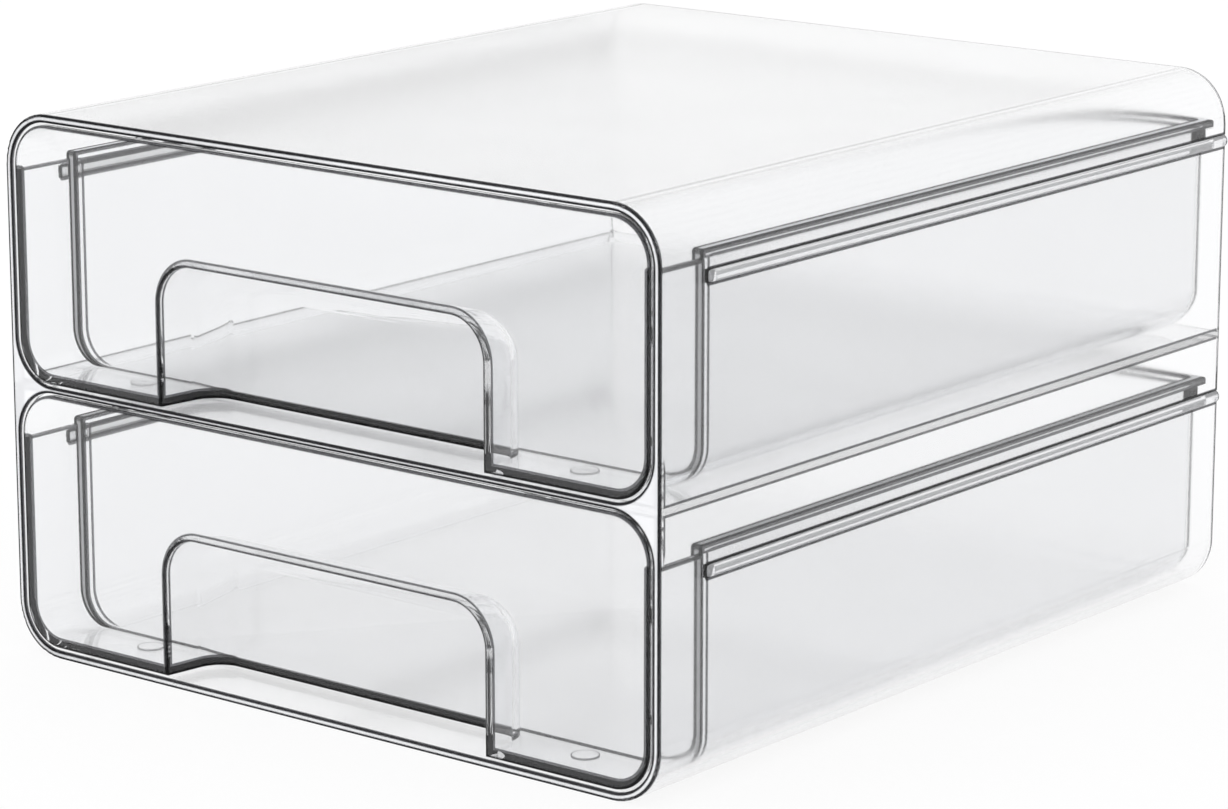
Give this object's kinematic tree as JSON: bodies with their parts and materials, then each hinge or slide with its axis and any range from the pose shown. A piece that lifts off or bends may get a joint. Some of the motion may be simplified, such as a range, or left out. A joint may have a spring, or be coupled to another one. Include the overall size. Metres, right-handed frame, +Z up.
{
  "type": "stackable drawer box",
  "caption": "Clear stackable drawer box with sliding tiers, rounded corners and a wide finger recess in each drawer front, for craft supplies and parts.",
  "frame": {"origin": "middle of the footprint, on the surface that the box stands on", "axes": "+Z up, -Y out of the drawer fronts, +X to the right of someone facing the drawers"},
  "size_m": [0.2424, 0.2764, 0.1618],
  "materials": {
    "housing_shell": "clear gloss",
    "guide_rail": "clear gloss",
    "drawer_front": "clear gloss",
    "drawer_tub": "clear gloss",
    "stop_lug": "clear gloss",
    "glide": "soft clear"
  },
  "bodies": {
    "housing": {"housing": "housing_shell", "lower_right_guide_rail": "guide_rail", "lower_left_guide_rail": "guide_rail", "lower_glides": "glide", "upper_right_guide_rail": "guide_rail", "upper_left_guide_rail": "guide_rail", "upper_glides": "glide"},
    "lower_drawer": {"lower_drawer_front": "drawer_front", "lower_drawer_tub": "drawer_tub", "lower_left_stop_lug": "stop_lug", "lower_right_stop_lug": "stop_lug"},
    "upper_drawer": {"upper_drawer_front": "drawer_front", "upper_drawer_tub": "drawer_tub", "upper_left_stop_lug": "stop_lug", "upper_right_stop_lug": "stop_lug"}
  },
  "joints": [
    {"name": "lower_drawer_slide", "type": "slide", "parent": "housing", "child": "lower_drawer", "axis": [0, -1, 0], "range_m": [0, 0.24]},
    {"name": "upper_drawer_slide", "type": "slide", "parent": "housing", "child": "upper_drawer", "axis": [0, -1, 0], "range_m": [0, 0.24]}
  ]
}
